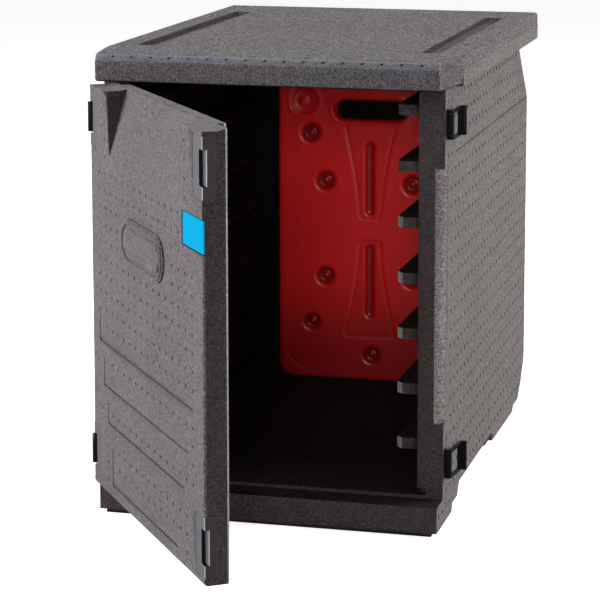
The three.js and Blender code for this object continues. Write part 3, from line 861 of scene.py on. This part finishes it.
def outline_distance(x, z):
    """Distance inside the slab's outline: positive on the slab, negative outside or in its slot."""
    w, h, r = WARMER["half"], WARMER["height"], WARMER["corner"]
    ax, az = np.abs(x) - (w - r), np.abs(z - h / 2) - (h / 2 - r)
    outside = np.hypot(np.maximum(ax, 0), np.maximum(az, 0)) + np.minimum(np.maximum(ax, az), 0) - r
    half = SLOT["half"] - SLOT["radius"]
    slot = segment_distance(x, z, -half, SLOT["z"], half, SLOT["z"]) - SLOT["radius"]
    return np.minimum(-outside, slot), slot


def wedge_distance(x, z, wide_z, narrow_z):
    """Distance-like value for the flared panel between two heights, positive inside it."""
    t = (z - wide_z) / (narrow_z - wide_z)
    flare = (1 - np.clip(t, 0, 1)) ** PANEL_FLARE
    half = PANEL_HALF["narrow"] + (PANEL_HALF["wide"] - PANEL_HALF["narrow"]) * flare
    across = half - np.abs(x)
    along = np.minimum(t, 1 - t) * abs(narrow_z - wide_z)
    return PANEL_CORNER - np.hypot(np.maximum(PANEL_CORNER - across, 0), np.maximum(PANEL_CORNER - along, 0))


def relief(x, z):
    """How far the front face sinks (positive) or stands proud (negative), in mm."""
    depth = np.zeros_like(x)
    for cx, cz, radius in DIMPLES:
        depth += dimple_depth(np.hypot(x - cx, z - cz), radius)
    for wide_z, narrow_z, groove in PANELS:
        inside = wedge_distance(x, z, wide_z, narrow_z)
        depth += 0.5 * smooth(inside, -1.5, 1.5) + 0.9 * ridge(inside, 1.6)
        channel = segment_distance(x, z, 0.0, groove[0], 0.0, groove[1])
        depth += 4.5 * (1 - smooth(channel, 3.5, 10.0))
    from_cap = np.hypot(x - CAP[0], z - CAP[1])
    depth += CAP_WELL["depth"] * (1 - smooth(from_cap - CAP_WELL["radius"], -1.5, 1.5))
    depth -= CAP_WELL["rise"] * ridge(from_cap - CAP_WELL["rim"], 2.0)
    from_slot = outline_distance(x, z)[1]
    depth -= SLOT_LIP["rise"] * ridge(from_slot - SLOT_LIP["reach"], SLOT_LIP["width"])
    return depth + corner_arcs(x, z)


def dimple_depth(r, radius):
    """A bowl with a raised button in its middle and a faint rim."""
    bowl = 8.5 * (1 - smooth(r, radius * 0.3, radius))
    button = 5.5 * (1 - smooth(r, 2.0, radius * 0.5))
    rim = 0.3 * ridge(r - radius - 2.0, 2.2)
    return bowl - button - rim


def corner_arcs(x, z):
    """Shallow curved lines inside the slab's four corners."""
    depth = np.zeros_like(x)
    middle = WARMER["height"] / 2
    for side in (-1, 1):
        for end in (-1, 1):
            across = side * x - CORNER_ARC["x"]
            along = end * (z - middle) - (middle - CORNER_ARC["z"])
            line = ridge(np.hypot(across, along) - CORNER_ARC["radius"], 2.0)
            depth += line * smooth(across, *CORNER_ARC["fade"]) * smooth(along, *CORNER_ARC["fade"])
    return depth


def slab_mesh(name, inset, step):
    """The slab as a grid of cells whose border is drawn onto the outline, with a relief in its
    front; inset shrinks it on every side, for the gel inside."""
    xs = np.arange(-WARMER["half"] - step, WARMER["half"] + step * 1.01, step)
    zs = np.arange(-step, WARMER["height"] + step * 1.01, step)
    x, z = (a.ravel() for a in np.meshgrid(xs, zs, indexing="ij"))
    keep = outline_distance(x, z)[0] - inset > -step * 0.75
    x, z = drawn_to_outline(x, z, inset, step * 0.35)
    inside = np.maximum(outline_distance(x, z)[0] - inset, 0.0)
    t = np.clip(inside / WARMER["round"], 0, 1)
    shoulder = WARMER["round"] * (1 - np.sqrt(np.maximum(1 - (1 - t) ** 2, 0)))
    sunk = relief(x, z) * smooth(inside, 2.0, 8.0)
    front = WARMER["front"] + inset + shoulder + sunk
    back = WARMER["front"] + WARMER["depth"] - inset - shoulder
    verts = []
    for y in (front, back):
        verts.extend(zip(x * MM, (y - ORIGIN_Y) * MM, (z + WARMER["floor"]) * MM))
    # Painted shade for the recesses, by their depth.
    recess_shade = np.clip(sunk / FULL_SHADE_DEPTH, 0, 1)
    sink = np.concatenate([recess_shade, np.zeros_like(recess_shade)])
    return mesh_of(name, verts, slab_faces(len(xs), len(zs), keep), sink)


def drawn_to_outline(x, z, inset, reach):
    """Moves the grid points near or past the outline onto it, along the distance's gradient."""
    for _ in range(4):
        inside = outline_distance(x, z)[0] - inset
        gx = outline_distance(x + 0.05, z)[0] - outline_distance(x - 0.05, z)[0]
        gz = outline_distance(x, z + 0.05)[0] - outline_distance(x, z - 0.05)[0]
        size = np.maximum(np.hypot(gx, gz), 1e-6)
        push = np.where(inside < reach, -inside, 0.0)
        x, z = x + push * gx / size, z + push * gz / size
    return x, z


def slab_faces(rows, columns, keep):
    """Quads of the front and of the back, and the walls along every open edge between them."""
    count = rows * columns
    faces, used = [], set()
    for i in range(rows - 1):
        for k in range(columns - 1):
            a = i * columns + k
            quad = (a, a + columns, a + columns + 1, a + 1)
            if not all(keep[q] for q in quad):
                continue
            faces.append(quad)
            faces.append(tuple(q + count for q in reversed(quad)))
            used.update(zip(quad, quad[1:] + quad[:1]))
    for p, q in sorted(used):
        if (q, p) not in used:
            faces.append((q, p, p + count, q + count))
    return faces


CAP_PROFILE = (  # radius and height above the slab's front
    (3.0, 4.0), (6.0, 3.0), (8.0, 1.8), (11.0, 1.2), (14.0, 1.6), (16.5, 2.8), (18.5, 2.6),
    (19.3, 1.4), (19.5, -2.5),
)


def cap_mesh():
    """The filler cap: a dished disc with a raised rim and a domed middle."""
    sides = 40
    verts = []
    for radius, rise in CAP_PROFILE:
        for i in range(sides):
            angle = math.tau * i / sides
            x, z = CAP[0] + radius * math.cos(angle), CAP[1] + radius * math.sin(angle)
            verts.append((x * MM, (WARMER["front"] - rise - ORIGIN_Y) * MM, (z + WARMER["floor"]) * MM))
    return mesh_of("warmer_filler_cap", verts, ring_faces(len(CAP_PROFILE), sides, closed=False))


def build_warmer():
    shell = slab_mesh("warmer_slab", 0.0, SLAB_STEP)
    piece_from(shell, "warmer_slab", "warmer", "warmer_shell", ("red",), flat=False)
    shell.set_sharp_from_angle(angle=math.radians(60))
    fill = slab_mesh("warmer_fill", GEL_INSET, GEL_STEP)
    piece_from(fill, "warmer_fill", "warmer", "warmer_gel", ("gel",), flat=False)
    cap = cap_mesh()
    piece_from(cap, "warmer_filler_cap", "warmer", "warmer_cap", ("red",), flat=False)


# ---- stage ----

CAMERA = {
    "place": (0.914164, -3.346295, 1.086240),
    "yaw": 0.248254,
    "pitch": 0.143195,
    "lens": 144.88,
    "shift_x": -0.0314,
    "shift_y": -0.2952,
}


def build_camera():
    """The picture's camera. Its frame is shifted only while it stands at its own place, so that
    a camera moved elsewhere looks straight at the object."""
    data = bpy.data.cameras.new("camera")
    data.sensor_width = 36.0
    data.lens = CAMERA["lens"]
    camera = link(bpy.data.objects.new("camera", data))
    camera.location = CAMERA["place"]
    camera.rotation_euler = (math.pi / 2 - CAMERA["pitch"], 0.0, CAMERA["yaw"])
    bpy.context.scene.camera = camera
    for path in ("shift_x", "shift_y"):
        driver = data.driver_add(path).driver
        driver.type = "SCRIPTED"
        variable = driver.variables.new()
        variable.name = "x"
        variable.type = "TRANSFORMS"
        variable.targets[0].id = camera
        variable.targets[0].transform_type = "LOC_X"
        driver.expression = f"{CAMERA[path]} if abs(x - {CAMERA['place'][0]}) < 0.0005 else 0.0"


def area_light(name, place, target, size, power, colour):
    data = bpy.data.lights.new(name, "AREA")
    data.shape = "RECTANGLE"
    data.size, data.size_y = size
    data.energy = power
    data.color = colour
    light = link(bpy.data.objects.new(name, data))
    light.location = place
    light.rotation_euler = (Vector(target) - Vector(place)).to_track_quat("-Z", "Y").to_euler()


def build_floor():
    """White paper: it glows for the camera and is dark in reflections."""
    mesh = bpy.data.meshes.new("floor")
    half = 12.0
    corners = [(-half, -half, 0), (half, -half, 0), (half, half, 0), (-half, half, 0)]
    mesh.from_pydata(corners, [], [(0, 1, 2, 3)])
    floor = link(bpy.data.objects.new("floor", mesh))
    floor.location.z = cad_box[0].z - 0.5 * MM
    n = Nodes("floor_paper")
    path = n.add("ShaderNodeLightPath").outputs
    glow = n.math("ADD", n.math("MULTIPLY", path["Is Camera Ray"], 0.62), 0.1)
    n.put(Base_Color=n.mix(path["Is Glossy Ray"], rgb(0.9, 0.9, 0.9), rgb(0.05, 0.05, 0.05)))
    n.put(Roughness=0.9, Specular_IOR_Level=0.1, Emission_Color=rgb(1.0, 1.0, 1.0), Emission_Strength=glow)
    mesh.materials.append(n.material)


WORLD_DIFFUSE = 0.22
WORLD_GLOSSY = 0.1


def build_world():
    """White to the camera, dim to diffuse light and nearly dark in reflections."""
    world = bpy.data.worlds.new("studio")
    bpy.context.scene.world = world
    world.use_nodes = True
    nodes, links = world.node_tree.nodes, world.node_tree.links
    path = nodes.new("ShaderNodeLightPath")
    shader = nodes["Background"].outputs[0]
    nodes["Background"].inputs["Color"].default_value = rgb(1.0, 1.0, 1.0)
    nodes["Background"].inputs["Strength"].default_value = WORLD_DIFFUSE
    for ray, strength in (("Is Glossy Ray", WORLD_GLOSSY), ("Is Camera Ray", 1.0)):
        background = nodes.new("ShaderNodeBackground")
        background.inputs["Color"].default_value = rgb(1.0, 1.0, 1.0)
        background.inputs["Strength"].default_value = strength
        mix = nodes.new("ShaderNodeMixShader")
        links.new(path.outputs[ray], mix.inputs[0])
        links.new(shader, mix.inputs[1])
        links.new(background.outputs[0], mix.inputs[2])
        shader = mix.outputs[0]
    links.new(shader, nodes["World Output"].inputs["Surface"])


LIGHTS = (  # name, place, target, size, watts, colour
    ("right_box", (3.2, 1.5, 1.5), (0.25, 0.35, 0.35), (2.0, 2.5), 180.0, (1.0, 0.96, 0.935)),
    ("left_box", (-3.3, -0.8, 1.6), (-0.1, -0.2, 0.3), (2.0, 2.5), 185.0, (1.0, 0.96, 0.99)),
    ("top_box", (0.2, 0.3, 3.2), (0.0, 0.3, 0.4), (2.5, 2.5), 35.0, (1.0, 1.0, 1.0)),
    ("front_box", (0.7, -3.4, 1.3), (0.1, 0.3, 0.35), (0.8, 0.8), 46.0, (1.0, 0.98, 0.98)),
)


def build_stage():
    build_camera()
    build_floor()
    build_world()
    for light in LIGHTS:
        area_light(*light)
    view = bpy.context.scene.view_settings
    view.view_transform = "Standard"
    view.look = "None"


build_body()
build_lid()
build_door()
build_hardware()
build_warmer()
build_stage()
